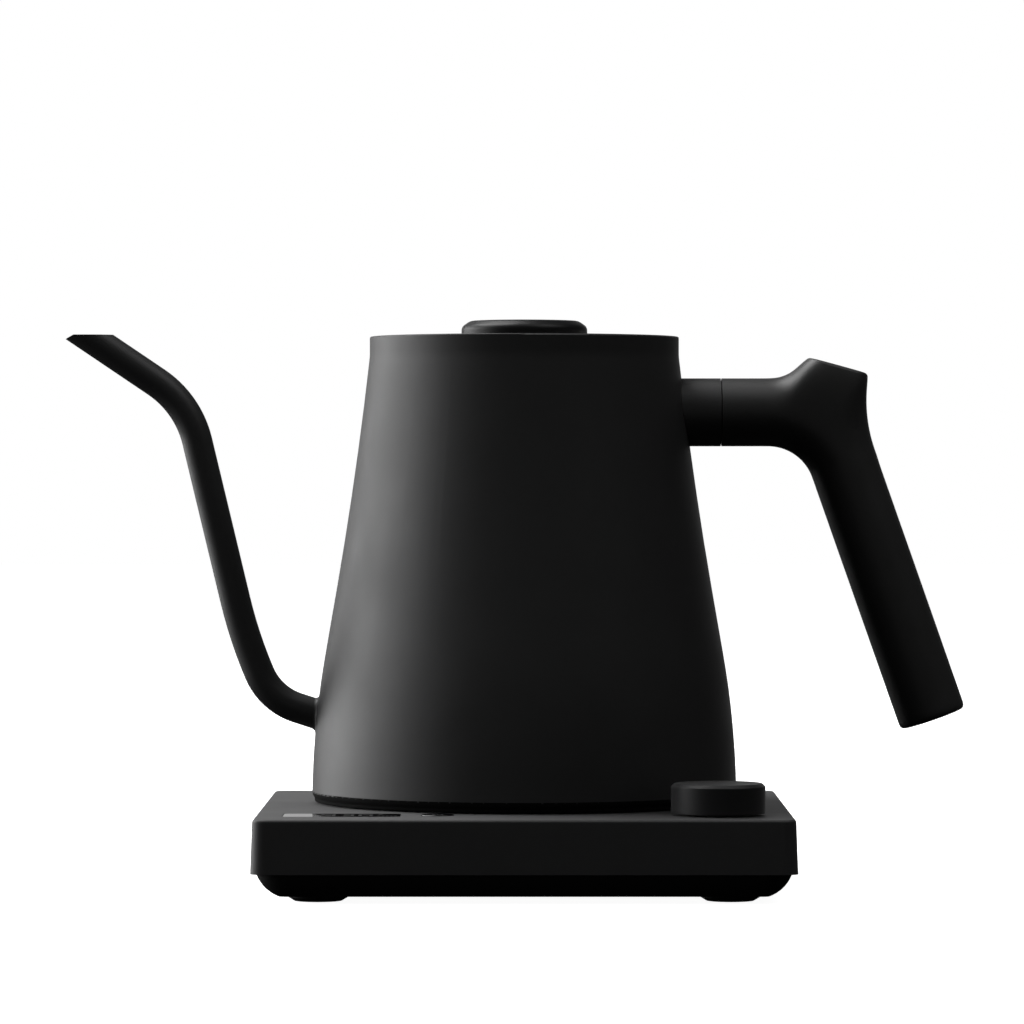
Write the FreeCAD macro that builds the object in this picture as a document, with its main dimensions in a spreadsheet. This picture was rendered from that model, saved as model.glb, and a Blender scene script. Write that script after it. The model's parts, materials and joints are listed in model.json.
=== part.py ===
import FreeCAD, Part
import math
import operator
import os
import Sketcher

# Electric gooseneck kettle that stands on a powered base.
# Millimetres, +Z up, Z = 0 is the table, +X is the handle side and -Y is the front of the base.
# The kettle's own sizes are measured from its axis, the base's from the middle of the base.

SIZES = {
    # places of the two assemblies in the part's frame
    "axis_x": 3.15, "axis_y": 12.25, "base_y": -3.25,
    # kettle shell: radii and heights of its outline
    "shell_wall": 1.0, "rim_radius": 50.0, "rim_top": 176.6, "rim_round": 0.5,
    "collar_low": 171.45, "collar_bend": 20.0, "cone_radius": 50.13, "cone_top": 169.16,
    "waist_bend": 1256.0, "waist_radius": 60.6, "waist_z": 95.6,
    "belly_radius": 64.2, "belly_z": 75.0, "belly_bend": 288.0,
    "skirt_radius": 68.6, "skirt_z": 30.0, "skirt_bend": 3.0, "lip_radius": 62.0,
    # welded neck ring that the lid rests on
    "ring_radius": 48.95, "ring_wall": 0.8, "ring_top": 170.0, "ring_low": 164.5, "ring_bore": 44.0,
    # spout tube: one radius, a root run, two lower bends, a straight, an upper bend and the tip run
    "spout_radius": 4.9, "spout_bore": 3.9, "spout_start_x": -64.0, "spout_start_z": 53.5,
    "root_rise": 18.0, "root_run": 10.0, "low_bend": 20.0, "low_sweep": 49.0,
    "mid_bend": 150.0, "mid_sweep": 9.5, "neck_run": 53.0, "top_bend": 32.0,
    "top_sweep": 42.5, "tip_run": 42.0, "tip_top": 177.3, "tip_nose_x": -145.6, "tip_nose_drop": 27.0,
    "hole_gap": 0.05,
    # handle: arm, elbow about its inner corner, tilted grip and sloped thumb rest
    "arm_radius": 11.0, "arm_z": 152.2, "seam_x": 63.5, "seam_gap": 0.3,
    "elbow_x": 78.85, "elbow_inner": 15.2, "grip_tilt": 19.35, "grip_run": 86.4, "grip_round": 1.5,
    "flare_x": 79.6, "flare_bend": 13.5, "back_waist_x": 110.65, "back_waist_z": 156.5,
    "back_bend": 49.6, "rest_x": 91.5, "rest_z": 170.0, "rest_slope": 15.3,
    "rest_round": 1.3, "crown": 53.4, "spigot_radius": 7.0, "spigot_end": 79.0, "spigot_gap": 0.1,
    "grip_bore": 8.0, "grip_bore_run": 68.0, "end_cap_depth": 3.0, "grip_screw_x": 71.0,
    "grip_screw_radius": 2.0, "grip_screw_head": 3.5, "grip_screw_reach": 3.0,
    # chamber floor, heater and the parts under it
    "floor_top": 48.0, "floor_radius": 66.6, "floor_skirt": 42.0, "sheet_wall": 0.8,
    "diffuser_radius": 52.0, "diffuser_depth": 3.5, "element_ring": 40.0, "element_radius": 3.5,
    "element_sweep": 300.0, "terminal_radius": 1.5, "terminal_drop": 9.0,
    "sensor_ring": 29.5, "sensor_radius": 3.0, "cutout_radius": 6.0, "cutout_depth": 5.0,
    # bottom cover and the kettle's half of the connector
    "cover_low": 26.5, "cover_radius": 61.8, "cover_flange": 65.0, "cover_wall": 2.0,
    "recess_radius": 21.0, "recess_top": 38.0, "carrier_depth": 4.5,
    "pin_radius": 2.5, "pin_low": 28.0, "blade_wall": 0.8, "blade_low": 29.0,
    "inner_track": 9.0, "outer_track": 14.0, "track_width": 2.0,
    # lid
    "lid_top": 172.2, "lid_radius": 48.4, "lid_skirt": 47.6, "lid_skirt_low": 167.0,
    "cup_radius": 43.0, "cup_low": 158.0, "vent_radius": 1.5, "vent_ring": 33.0,
    "knob_radius": 20.35, "knob_top": 181.8, "knob_bevel_in": 2.9, "knob_bevel_down": 2.0,
    "knob_wall": 2.55, "knob_boss": 5.0,
    # base housing
    "base_width": 167.3, "base_depth": 155.0, "base_top": 26.2, "base_seam": 9.3,
    "base_draft": 2.05, "base_corner": 3.7, "base_edge": 1.0, "base_wall": 2.0,
    "tray_inset": 1.4, "tray_low": 2.0, "tray_slope": 7.1, "tray_bulge": 1.15, "tray_corner": 9.5,
    "tray_wall": 8.5,
    "tray_lip": 2.2, "lip_gap": 0.2,
    "foot_x": 63.9, "foot_y": 57.5, "foot_radius": 9.4, "foot_flat": 7.4, "foot_cone": 1.2,
    "foot_top": 3.0, "recess_gap": 0.15,
    "boss_radius": 4.0, "screw_radius": 1.3, "screw_head": 2.9,
    # base half of the connector
    "socket_radius": 19.5, "socket_top": 36.2, "socket_low": 16.2, "socket_flange": 24.0,
    "slot_low": 27.0, "hub_radius": 4.5, "hub_top": 35.9, "hub_low": 12.0, "running_gap": 0.1,
    # controls, all on one line near the front edge
    "controls_y": -54.5, "window_x": -56.7, "window_length": 36.5, "window_depth": 15.4,
    "window_thick": 1.2, "window_corner": 1.5, "button_x": -26.9, "button_radius": 5.0,
    "button_gap": 0.3, "button_proud": 0.3, "button_flange": 1.0,
    "dial_x": 60.3, "dial_radius": 14.7, "dial_low": 26.9, "dial_top": 36.2, "dial_bevel": 1.0,
    "dial_wall": 2.2, "shaft_radius": 3.0, "bushing_radius": 4.4,
    # boards, the posts that carry them, and the electrical pieces
    "board_thick": 1.6, "board_z": 17.0, "front_board_x": -49.0, "front_board_length": 60.0,
    "front_board_depth": 32.0, "dial_board_z": 11.4, "dial_board_length": 24.0,
    "dial_board_depth": 20.0, "power_z": 7.0, "power_x": 50.5, "power_y": 19.0,
    "power_length": 46.0, "power_depth": 58.0, "post_radius": 2.0, "post_inset": 2.5,
    "gland_x": 50.0, "gland_z": 17.8, "gland_bore": 3.4, "gland_neck": 5.5, "gland_flange": 6.5,
}

CIRCLE_POINTS = 28
ELBOW_SECTIONS = 18
OPERATIONS = {"+": operator.add, "-": operator.sub, "*": operator.mul, "/": operator.truediv}

doc = FreeCAD.newDocument("gooseneck_kettle")
sheet = doc.addObject("Spreadsheet::Sheet", "Sizes")
for row, (alias, number) in enumerate(SIZES.items(), start=1):
    sheet.set(f"A{row}", alias)
    sheet.set(f"B{row}", str(number))
    sheet.setAlias(f"B{row}", alias)
doc.recompute()


class Size:
    """A length or an angle: its value, and the expression on the sheet that gives it."""

    def __init__(self, value, text):
        self.value = value
        self.text = text

    def joined(self, sign, other):
        other = as_size(other)
        value = OPERATIONS[sign](self.value, other.value)
        return Size(value, f"({self.text} {sign} {other.text})")

    def __add__(self, other):
        return self.joined("+", other)

    def __sub__(self, other):
        return self.joined("-", other)

    def __mul__(self, other):
        return self.joined("*", other)

    def __truediv__(self, other):
        return self.joined("/", other)

    def __neg__(self):
        return Size(-self.value, f"(0 - {self.text})")


def as_size(number):
    return number if isinstance(number, Size) else Size(float(number), repr(float(number)))


def tangent(angle):
    return Size(math.tan(math.radians(angle.value)), f"tan({angle.text})")


class Dims:
    """Every driving dimension by its name on the sheet."""


for alias in SIZES:
    setattr(Dims, alias, Size(float(sheet.get(alias)), f"Sizes.{alias}"))
d = Dims
sub_parts = {}
own_places = {}


# ---------------------------------------------------------------- general steps

def set_place(item, x=0.0, y=0.0, z=0.0):
    place = tuple(as_size(size) for size in (x, y, z))
    own_places[item.Name] = place
    for letter, size in zip("xyz", place):
        item.setExpression(f"Placement.Base.{letter}", size.text)


def move_by(item, x, y):
    """Moves an item on from its own place."""
    own_x, own_y, own_z = own_places.get(item.Name, (as_size(0), as_size(0), as_size(0)))
    set_place(item, x + own_x, y + own_y, own_z)


def on_kettle(item):
    move_by(item, d.axis_x, d.axis_y)


def on_base(item):
    move_by(item, d.axis_x, d.base_y)


def keep(item, name, put=None):
    """Names a finished sub-part and puts it in its assembly."""
    item.Label = name
    if put:
        put(item)
    sub_parts[name] = item
    return item


def new_body(name):
    return doc.addObject("PartDesign::Body", name)


def new_sketch(body, plane="XZ_Plane", offset=None, turn=None):
    sketch = body.newObject("Sketcher::SketchObject", f"{body.Name}_sketch")
    origin = [item for item in body.Origin.OriginFeatures if item.Role == plane][0]
    sketch.AttachmentSupport = [(origin, "")]
    sketch.MapMode = "FlatFace"
    if turn is not None:
        sketch.AttachmentOffset = FreeCAD.Placement(FreeCAD.Vector(), turn)
    if offset is not None:
        sketch.setExpression("AttachmentOffset.Base.z", as_size(offset).text)
    return sketch


def pin_point(sketch, item, point, x, y):
    """Ties a sketch point to its place, each coordinate to its own expression."""
    for letter, size, axis in (("X", as_size(x), -2), ("Y", as_size(y), -1)):
        if abs(size.value) < 1e-9:
            sketch.addConstraint(Sketcher.Constraint("PointOnObject", item, point, axis))
            continue
        if size.value > 0:
            ends = (-1, 1, item, point)
        else:
            ends = (item, point, -1, 1)
            size = -size
        bind(sketch, Sketcher.Constraint(f"Distance{letter}", *ends, size.value), size)


def bind(sketch, constraint, size):
    """Adds a constraint whose value is an expression."""
    index = sketch.addConstraint(constraint)
    sketch.setExpression(f"Constraints[{index}]", size.text)


def draw_circle(sketch, x, y, radius):
    x, y, radius = as_size(x), as_size(y), as_size(radius)
    centre = FreeCAD.Vector(x.value, y.value, 0)
    item = sketch.addGeometry(Part.Circle(centre, FreeCAD.Vector(0, 0, 1), radius.value), False)
    pin_point(sketch, item, 3, x, y)
    bind(sketch, Sketcher.Constraint("Radius", item, radius.value), radius)


def draw_outline(sketch, corners):
    """Closes a loop through (x, y) or (x, y, radius) corners.

    A radius bends the side that starts at its corner. The bend's centre is on the left of that
    side, or on the right where the radius is negative.
    """
    sides = []
    for corner, following in zip(corners, corners[1:] + corners[:1]):
        start = FreeCAD.Vector(as_size(corner[0]).value, as_size(corner[1]).value, 0)
        end = FreeCAD.Vector(as_size(following[0]).value, as_size(following[1]).value, 0)
        if len(corner) == 2:
            item = sketch.addGeometry(Part.LineSegment(start, end), False)
            sides.append((item, 1, 2))
            continue
        bend = as_size(corner[2])
        run = end - start
        side = 1 if bend.value > 0 else -1
        away = math.sqrt(max(bend.value ** 2 - (run.Length / 2) ** 2, 0))
        left = FreeCAD.Vector(-run.y, run.x, 0).normalize()
        centre = (start + end) * 0.5 + left * (side * away)
        turns = [math.atan2(point.y - centre.y, point.x - centre.x) for point in (start, end)]
        if side < 0:
            turns.reverse()
        circle = Part.Circle(centre, FreeCAD.Vector(0, 0, 1), abs(bend.value))
        item = sketch.addGeometry(Part.ArcOfCircle(circle, turns[0], turns[1]), False)
        sides.append((item, 1, 2) if side > 0 else (item, 2, 1))
    for index, (item, start, _) in enumerate(sides):
        before, _, end = sides[index - 1]
        sketch.addConstraint(Sketcher.Constraint("Coincident", before, end, item, start))
        pin_point(sketch, item, start, corners[index][0], corners[index][1])
    for (item, _, _), corner in zip(sides, corners):
        if len(corner) == 3:
            bend = as_size(corner[2])
            bend = bend if bend.value > 0 else -bend
            bind(sketch, Sketcher.Constraint("Radius", item, bend.value), bend)


def box_corners(x, y, length, depth, corner=None):
    """The corners of a rectangle about (x, y), rounded where a corner radius is given."""
    x, y = as_size(x), as_size(y)
    half_x, half_y = as_size(length) / 2, as_size(depth) / 2
    if corner is None:
        return [(x - half_x, y - half_y), (x + half_x, y - half_y),
                (x + half_x, y + half_y), (x - half_x, y + half_y)]
    corner = as_size(corner)
    return [
        (x - half_x + corner, y - half_y), (x + half_x - corner, y - half_y, corner),
        (x + half_x, y - half_y + corner), (x + half_x, y + half_y - corner, corner),
        (x + half_x - corner, y + half_y), (x - half_x + corner, y + half_y, corner),
        (x - half_x, y + half_y - corner), (x - half_x, y - half_y + corner, corner),
    ]


def add_turned(body, corners, kind="PartDesign::Revolution"):
    """Turns an outline of (radius, height) corners about Z."""
    sketch = new_sketch(body)
    draw_outline(sketch, corners)
    feature = body.newObject(kind, f"{body.Name}_turned")
    feature.Profile = sketch
    feature.ReferenceAxis = (sketch, ["V_Axis"])
    feature.Angle = 360
    return feature


def add_pad(body, sketch, length, reverse=False):
    feature = body.newObject("PartDesign::Pad", f"{body.Name}_pad")
    feature.Profile = sketch
    feature.setExpression("Length", as_size(length).text)
    feature.Reversed = reverse
    return feature


def add_pocket(body, sketch, length, reverse=True):
    """Cuts upwards from a level sketch, or downwards with reverse False."""
    feature = body.newObject("PartDesign::Pocket", f"{body.Name}_pocket")
    feature.Profile = sketch
    feature.setExpression("Length", as_size(length).text)
    feature.Reversed = reverse
    return feature


def turned(name, corners, put=None):
    body = new_body(name)
    add_turned(body, corners)
    return keep(body, name, put)


def cylinder(name, radius, low, high, x=0.0, y=0.0):
    item = doc.addObject("Part::Cylinder", name)
    item.setExpression("Radius", as_size(radius).text)
    item.setExpression("Height", (as_size(high) - as_size(low)).text)
    set_place(item, x, y, low)
    return item


def block(name, length, depth, low, high, x=0.0, y=0.0):
    """A rectangular block with its middle at (x, y)."""
    item = doc.addObject("Part::Box", name)
    item.setExpression("Length", as_size(length).text)
    item.setExpression("Width", as_size(depth).text)
    item.setExpression("Height", (as_size(high) - as_size(low)).text)
    set_place(item, as_size(x) - as_size(length) / 2, as_size(y) - as_size(depth) / 2, low)
    return item


def joined(name, shapes):
    item = doc.addObject("Part::MultiFuse", name)
    item.Shapes = shapes
    return item


def grouped(name, shapes):
    """Separate solids that share one node."""
    item = doc.addObject("Part::Compound", name)
    item.Links = shapes
    return item


def cut(name, base, tools):
    item = doc.addObject("Part::Cut", name)
    item.Base = base
    item.Tool = tools[0] if len(tools) == 1 else joined(f"{name}_tools", tools)
    return item


# ---------------------------------------------------------------- kettle shell and spout

def shell_side(inset):
    """The shell's side from the collar down to the skirt, moved in by inset."""
    return [
        (d.rim_radius - inset, d.collar_low, d.collar_bend + inset),
        (d.cone_radius - inset, d.cone_top, d.waist_bend + inset),
        (d.waist_radius - inset, d.waist_z),
        (d.belly_radius - inset, d.belly_z, -(d.belly_bend - inset)),
    ]


def reversed_sides(corners, last):
    """The same corners walked the other way, from last; each bend moves to its other end."""
    turned_round = []
    points = corners + [last]
    for index in range(len(corners), 0, -1):
        before = corners[index - 1]
        point = points[index][:2]
        turned_round.append(point + (-before[2],) if len(before) == 3 else point)
    turned_round.append(corners[0][:2])
    return turned_round


def shell_outline():
    outer = shell_side(as_size(0))
    inner_foot = (d.skirt_radius - d.shell_wall, d.skirt_z)
    inner = reversed_sides(shell_side(d.shell_wall), inner_foot)
    skirt_low = d.skirt_z - d.skirt_bend
    bend_middle = d.skirt_radius - d.skirt_bend
    crown = d.rim_top - d.rim_round
    return outer + [
        (d.skirt_radius, d.skirt_z, -d.skirt_bend),
        (bend_middle, skirt_low),
        (d.lip_radius, skirt_low),
        (d.lip_radius, skirt_low + d.shell_wall),
        (bend_middle, skirt_low + d.shell_wall, d.skirt_bend - d.shell_wall),
    ] + inner + [
        (d.rim_radius - d.shell_wall, crown, -d.rim_round),
        (d.rim_radius - d.rim_round, d.rim_top, -d.rim_round),
        (d.rim_radius, crown),
    ]


def make_envelope():
    """The solid inside the shell's outer face, a little proud, for trimming what meets the shell."""
    gap = as_size(-0.05)
    body = new_body("shell_envelope")
    outer = shell_side(gap)
    add_turned(body, outer + [
        (d.skirt_radius - gap, d.skirt_z),
        (0, d.skirt_z),
        (0, d.rim_top),
        (d.rim_radius - gap, d.rim_top),
    ])
    return body


def level_arc(centre, bend, first, sweep):
    """An arc in the sketch from angle first through sweep degrees, and its (start, end) point numbers."""
    circle = Part.Circle(centre, FreeCAD.Vector(0, 0, 1), bend)
    span = (first, first + sweep) if sweep > 0 else (first + sweep, first)
    arc = Part.ArcOfCircle(circle, math.radians(span[0]), math.radians(span[1]))
    return arc, ((1, 2) if sweep > 0 else (2, 1))


def unit(angle):
    return FreeCAD.Vector(math.cos(math.radians(angle)), math.sin(math.radians(angle)), 0)


def draw_spout_path(sketch):
    """The spout's centreline: straight runs and bends, each tangent to the one before."""
    moves = [
        (d.root_run, None), (d.low_bend, -d.low_sweep), (d.mid_bend, -d.mid_sweep),
        (d.neck_run, None), (d.top_bend, d.top_sweep), (d.tip_run, None),
    ]
    place = FreeCAD.Vector(d.spout_start_x.value, d.spout_start_z.value, 0)
    angle = 180 - d.root_rise.value
    before = None
    for size, sweep in moves:
        if sweep is None:
            after = place + unit(angle) * size.value
            item = sketch.addGeometry(Part.LineSegment(place, after), False)
            ends = (1, 2)
            kind = "Distance"
        else:
            side = 1 if sweep.value > 0 else -1
            first = angle - 90 * side
            centre = place - unit(first) * size.value
            arc, ends = level_arc(centre, size.value, first, sweep.value)
            item = sketch.addGeometry(arc, False)
            after = centre + unit(first + sweep.value) * size.value
            angle += sweep.value
            kind = "Radius"
        if before is None:
            pin_point(sketch, item, ends[0], d.spout_start_x, d.spout_start_z)
            lean = as_size(180) - d.root_rise
            bind(sketch, Sketcher.Constraint("Angle", item, math.radians(lean.value)), lean)
        else:
            sketch.addConstraint(Sketcher.Constraint("Tangent", before[0], before[1], item, ends[0]))
        bind(sketch, Sketcher.Constraint(kind, item, size.value), size)
        if sweep is not None:
            sweep = sweep if sweep.value > 0 else -sweep
            bind(sketch, Sketcher.Constraint("Angle", item, math.radians(sweep.value)), sweep)
        before = (item, ends[1])
        place = after


def make_spout():
    body = new_body("spout_tube")
    path = new_sketch(body)
    draw_spout_path(path)
    heading = FreeCAD.Vector(-math.cos(math.radians(d.root_rise.value)), 0,
                             math.sin(math.radians(d.root_rise.value)))
    ring = new_sketch(body, "XY_Plane")
    root = FreeCAD.Vector(d.spout_start_x.value, 0, d.spout_start_z.value)
    ring.AttachmentOffset = FreeCAD.Placement(root, FreeCAD.Rotation(FreeCAD.Vector(0, 0, 1), heading))
    draw_circle(ring, 0, 0, d.spout_radius)
    draw_circle(ring, 0, 0, d.spout_bore)
    pipe = body.newObject("PartDesign::AdditivePipe", "spout_pipe")
    pipe.Profile = ring
    pipe.Spine = (path, [])
    trim = new_sketch(body)
    reach = d.spout_radius * 6
    nose_low = d.tip_top - tangent(d.tip_nose_drop) * reach
    draw_outline(trim, [
        (d.tip_nose_x + reach * 2, d.tip_top), (d.tip_nose_x + reach * 2, d.tip_top + reach * 2),
        (d.tip_nose_x - reach, d.tip_top + reach * 2), (d.tip_nose_x - reach, nose_low),
        (d.tip_nose_x, d.tip_top),
    ])
    pocket = add_pocket(body, trim, d.spout_radius * 4)
    pocket.Midplane = True
    return keep(body, "spout", on_kettle)


def make_kettle_body():
    shell = new_body("shell")
    add_turned(shell, shell_outline())
    hole = cylinder("spout_hole", d.spout_radius + d.hole_gap, 0, d.root_run)
    hole.Placement.Rotation = FreeCAD.Rotation(FreeCAD.Vector(0, 1, 0), d.root_rise.value - 90)
    set_place(hole, d.spout_start_x, 0, d.spout_start_z)
    return keep(cut("shell_with_hole", shell, [hole]), "kettle_body", on_kettle)


def make_neck_ring():
    inner = d.ring_radius - d.ring_wall
    return turned("neck_ring", [
        (d.ring_bore, d.ring_low), (d.ring_radius, d.ring_low), (d.ring_radius, d.ring_top),
        (inner, d.ring_top), (inner, d.ring_low + d.ring_wall), (d.ring_bore, d.ring_low + d.ring_wall),
    ], on_kettle)


# ---------------------------------------------------------------- handle

def ray_to_circle(angle, corner, centre, radius, far):
    """Distance along a ray from corner to a circle: its near side, or its far side."""
    along = unit(angle)
    gap = corner - centre
    half = along.dot(gap)
    root = math.sqrt(max(half ** 2 - gap.dot(gap) + radius ** 2, 0))
    return -half + root if far else -half - root


def elbow_reach(angle):
    """How far the handle reaches from its inner corner, at an angle above the grip's side."""
    corner = FreeCAD.Vector(d.elbow_x.value, d.arm_z.value - d.arm_radius.value - d.elbow_inner.value, 0)
    plain = d.elbow_inner.value + 2 * d.arm_radius.value
    flare = FreeCAD.Vector(d.flare_x.value, d.arm_z.value + d.arm_radius.value + d.flare_bend.value, 0)
    back = FreeCAD.Vector(d.back_waist_x.value + d.back_bend.value, d.back_waist_z.value, 0)
    front_limit = 74.5
    back_limit = 50.5
    if angle >= front_limit:
        return max(plain, ray_to_circle(angle, corner, flare, d.flare_bend.value, False))
    if angle <= back_limit:
        return max(plain, ray_to_circle(angle, corner, back, d.back_bend.value, False))
    front = ray_to_circle(front_limit, corner, flare, d.flare_bend.value, False)
    rear = ray_to_circle(back_limit, corner, back, d.back_bend.value, False)
    part = (front_limit - angle) / (front_limit - back_limit)
    level = front + (rear - front) * part
    rise = d.crown.value - (front + rear) / 2
    return level + rise * math.sin(math.pi * part)


def section_points(centre, across, radius, reach=None, fullness=2):
    """Control points of a closed curve: a half circle inside, a half oval that reaches out.

    A cubic curve runs a little inside its control points, so they stand out by the same share.
    """
    stand_out = 3 / (2 + math.cos(2 * math.pi / CIRCLE_POINTS))
    reach = reach or radius
    points = []
    for step in range(CIRCLE_POINTS):
        turn = 2 * math.pi * step / CIRCLE_POINTS
        out, side = math.cos(turn), math.sin(turn)
        if out > 1e-6:
            out = out ** (2 / fullness) * reach
            side = math.copysign(abs(side) ** (2 / fullness), side)
        else:
            out *= radius
        side *= radius
        points.append(centre + across * (out * stand_out) + FreeCAD.Vector(0, side * stand_out, 0))
    return points


def upright(angle):
    """Unit vector in the XZ plane at an angle above +X."""
    return FreeCAD.Vector(math.cos(math.radians(angle)), 0, math.sin(math.radians(angle)))


def smooth_tube(rows):
    """A closed solid whose side is one cubic surface over rows of control points."""
    around, along = len(rows[0]), len(rows)
    surface = Part.BSplineSurface()
    inner_knots = along - 2
    surface.buildFromPolesMultsKnots(
        [list(column) for column in zip(*rows)],
        [1] * (around + 1), [4] + [1] * (inner_knots - 2) + [4],
        list(range(around + 1)), list(range(inner_knots)),
        True, False, 3, 3)
    side = surface.toShape()
    caps = []
    for edge in side.Edges:
        ends_level = edge.isClosed() and edge.Length > 1
        if ends_level:
            caps.append(Part.Face(Part.Wire(edge)))
    shell = Part.makeShell([side] + caps)
    shell.sewShape()
    return Part.makeSolid(shell)


def handle_solid():
    """One smooth bar: straight arm, elbow that turns about its inner corner, straight grip, round end."""
    radius = d.arm_radius.value
    inner = d.elbow_inner.value
    corner = FreeCAD.Vector(d.elbow_x.value, 0, d.arm_z.value - radius - inner)
    rows = []
    top = corner + upright(90) * (inner + radius)
    arm_run = d.elbow_x.value - d.seam_x.value - d.seam_gap.value
    for share in (1.0, 0.8, 0.6, 0.4, 0.2):
        rows.append(section_points(top - FreeCAD.Vector(arm_run * share, 0, 0), upright(90), radius))
    for step in range(ELBOW_SECTIONS + 1):
        angle = 90 + (d.grip_tilt.value - 90) * step / ELBOW_SECTIONS
        reach = max(elbow_reach(angle) - inner - radius, radius)
        fullness = 2 + min((reach - radius) / radius, 1)
        centre = corner + upright(angle) * (inner + radius)
        rows.append(section_points(centre, upright(angle), radius, reach, fullness))
    across = upright(d.grip_tilt.value)
    down = upright(d.grip_tilt.value - 90)
    grip_top = corner + across * (inner + radius)
    for along in (3.0, 6.0, 9.0, 12.0, 30.0, 50.0, 70.0):
        rows.append(section_points(grip_top + down * along, across, radius))
    end = grip_top + down * d.grip_run.value
    edge = d.grip_round.value
    for back, taken_in in ((4 * edge, 0), (2 * edge, 0), (edge / 2, 0), (0, edge / 2), (0, edge)):
        rows.append(section_points(end - down * back, across, radius - taken_in))
    return smooth_tube(rows), end, down


def make_handle():
    solid, end, down = handle_solid()
    size = d.grip_run.value
    above = Part.makeBox(size, size, size, FreeCAD.Vector(-size / 3, -size / 2, 0))
    rest = FreeCAD.Vector(d.rest_x.value, 0, d.rest_z.value)
    slope = FreeCAD.Rotation(FreeCAD.Vector(0, 1, 0), d.rest_slope.value)
    above.Placement = FreeCAD.Placement(rest, slope).multiply(above.Placement)
    spigot_start = FreeCAD.Vector(d.seam_x.value, 0, d.arm_z.value)
    spigot_run = d.spigot_end.value - d.seam_x.value + 1
    spigot_bore = d.spigot_radius.value + d.spigot_gap.value
    behind_arm = FreeCAD.Vector(d.grip_screw_x.value, d.arm_radius.value + 1, d.arm_z.value)
    forwards = FreeCAD.Vector(0, -1, 0)
    solid = solid.cut(above)
    upright = slope.multVec(FreeCAD.Vector(0, 0, 1))
    rest_edges = [
        edge for edge in solid.Edges
        if all(abs((vertex.Point - rest).dot(upright)) < 0.001 for vertex in edge.Vertexes)
    ]
    solid = solid.makeFillet(d.rest_round.value, rest_edges)
    tools = [
        Part.makeCylinder(spigot_bore, spigot_run, spigot_start, FreeCAD.Vector(1, 0, 0)),
        Part.makeCylinder(d.grip_bore.value, d.grip_bore_run.value, end, down * -1),
        Part.makeCylinder(d.grip_screw_head.value + 0.3, 4.2, behind_arm, forwards),
        Part.makeCylinder(d.grip_screw_radius.value + 0.1, d.arm_radius.value - 3, behind_arm, forwards),
    ]
    for tool in tools:
        solid = solid.cut(tool)
    item = doc.addObject("Part::Feature", "handle_shell")
    item.Shape = solid
    item.Placement.Base = FreeCAD.Vector(d.axis_x.value, d.axis_y.value, 0)
    keep(item, "handle")
    return end, down


def level_rod(name, radius, start, end):
    """A round rod along X at the arm's height."""
    rod = cylinder(name, radius, 0, end - start)
    rod.Placement.Rotation = FreeCAD.Rotation(FreeCAD.Vector(0, 1, 0), 90)
    set_place(rod, start, 0, d.arm_z)
    return rod


def cross_rod(name, radius, start, end):
    """A round rod along Y through the arm at the grip screw, from start forwards to end."""
    rod = cylinder(name, radius, 0, start - end)
    rod.Placement.Rotation = FreeCAD.Rotation(FreeCAD.Vector(1, 0, 0), 90)
    set_place(rod, d.grip_screw_x, start, d.arm_z)
    return rod


def make_handle_fittings(envelope, end, down):
    """Metal socket welded to the shell, the screw that locks the handle on it, and the grip's end cap."""
    stub = level_rod("stub", d.arm_radius, d.rim_radius - 8, d.seam_x)
    spigot = level_rod("spigot", d.spigot_radius, d.seam_x - 4, d.spigot_end)
    seat = as_size(8)
    tapped = cross_rod("tapped_hole", d.grip_screw_radius + 0.02, seat, -d.grip_screw_reach - 1)
    socket = cut("socket", joined("stub_and_spigot", [stub, spigot]), [envelope, tapped])
    keep(socket, "handle_socket", on_kettle)
    head = cross_rod("grip_screw_head", d.grip_screw_head, seat + 2.6, seat)
    shank = cross_rod("grip_screw_shank", d.grip_screw_radius, seat, -d.grip_screw_reach)
    keep(joined("grip_screw", [head, shank]), "handle_screw", on_kettle)
    cap = doc.addObject("Part::Cylinder", "end_cap")
    cap.setExpression("Radius", (d.grip_bore - 0.05).text)
    cap.setExpression("Height", d.end_cap_depth.text)
    place = end + FreeCAD.Vector(d.axis_x.value, d.axis_y.value, 0)
    cap.Placement = FreeCAD.Placement(place, FreeCAD.Rotation(FreeCAD.Vector(0, 0, 1), down * -1))
    keep(cap, "grip_end_cap")


# ---------------------------------------------------------------- chamber floor and heater

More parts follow.
